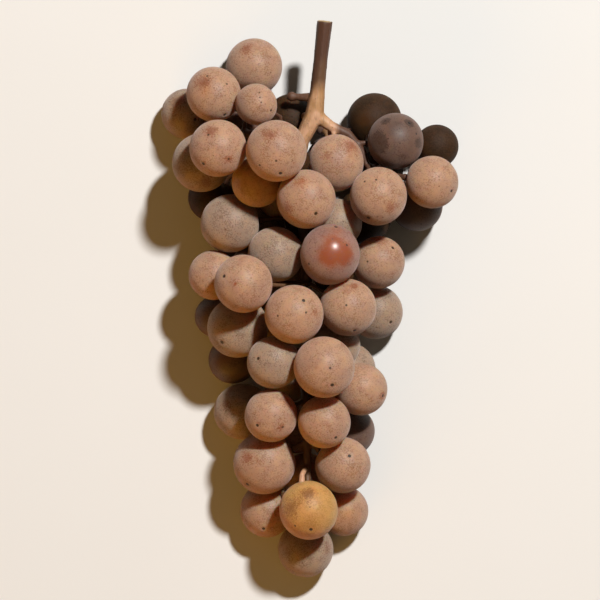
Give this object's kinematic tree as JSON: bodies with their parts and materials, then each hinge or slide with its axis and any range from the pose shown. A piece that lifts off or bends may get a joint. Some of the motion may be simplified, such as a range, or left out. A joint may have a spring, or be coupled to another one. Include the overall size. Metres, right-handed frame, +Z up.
{
  "type": "bunch of grapes",
  "caption": "Bunch of pink-brown wine grapes lying on its side, with two shoulders, a tapering tip and a branched woody stem that ends in a cut stub.",
  "frame": {"origin": "middle of the bunch's footprint, at table height", "axes": "+Y runs from the tip of the bunch up to the cut end of its stem, +Z points up from the table through the side that is seen, +X runs across the bunch"},
  "size_m": [0.0746, 0.1398, 0.0434],
  "materials": {
    "berry_skin": "satin",
    "back_berry_skin": "satin",
    "stem_wood": "matte"
  },
  "bodies": {
    "root": {"back_berry_1": "back_berry_skin", "back_berry_2": "back_berry_skin", "back_berry_3": "back_berry_skin", "back_berry_4": "back_berry_skin", "back_berry_5": "back_berry_skin", "back_berry_6": "back_berry_skin", "back_berry_7": "back_berry_skin", "back_berry_8": "back_berry_skin", "back_berry_9": "back_berry_skin", "back_berry_10": "back_berry_skin", "back_berry_11": "back_berry_skin", "back_berry_12": "back_berry_skin", "back_berry_13": "back_berry_skin", "back_berry_14": "back_berry_skin", "back_berry_15": "back_berry_skin", "left_shoulder_berry_1": "berry_skin", "left_shoulder_berry_2": "berry_skin", "left_shoulder_berry_3": "berry_skin", "left_shoulder_berry_4": "berry_skin", "left_shoulder_berry_5": "berry_skin", "left_shoulder_berry_6": "berry_skin", "left_shoulder_berry_7": "berry_skin", "left_shoulder_berry_8": "berry_skin", "left_shoulder_berry_9": "berry_skin", "lower_body_berry_1": "berry_skin", "lower_body_berry_2": "berry_skin", "lower_body_berry_3": "berry_skin", "lower_body_berry_4": "berry_skin", "lower_body_berry_5": "berry_skin", "lower_body_berry_6": "berry_skin", "middle_body_berry_1": "berry_skin", "middle_body_berry_2": "berry_skin", "middle_body_berry_3": "berry_skin", "middle_body_berry_4": "berry_skin", "middle_body_berry_5": "berry_skin", "middle_body_berry_6": "berry_skin", "middle_body_berry_7": "berry_skin", "middle_body_berry_8": "berry_skin", "middle_body_berry_9": "berry_skin", "middle_body_berry_10": "berry_skin", "middle_body_berry_11": "berry_skin", "right_shoulder_berry_1": "berry_skin", "right_shoulder_berry_2": "berry_skin", "right_shoulder_berry_3": "berry_skin", "right_shoulder_berry_4": "berry_skin", "right_shoulder_berry_5": "berry_skin", "right_shoulder_berry_6": "berry_skin", "right_shoulder_berry_7": "berry_skin", "stem": "stem_wood", "tip_berry_1": "berry_skin", "tip_berry_2": "berry_skin", "tip_berry_3": "berry_skin", "tip_berry_4": "berry_skin", "upper_body_berry_1": "berry_skin", "upper_body_berry_2": "berry_skin", "upper_body_berry_3": "berry_skin", "upper_body_berry_4": "berry_skin", "upper_body_berry_5": "berry_skin", "upper_body_berry_6": "berry_skin", "upper_body_berry_7": "berry_skin"}
  },
  "joints": []
}
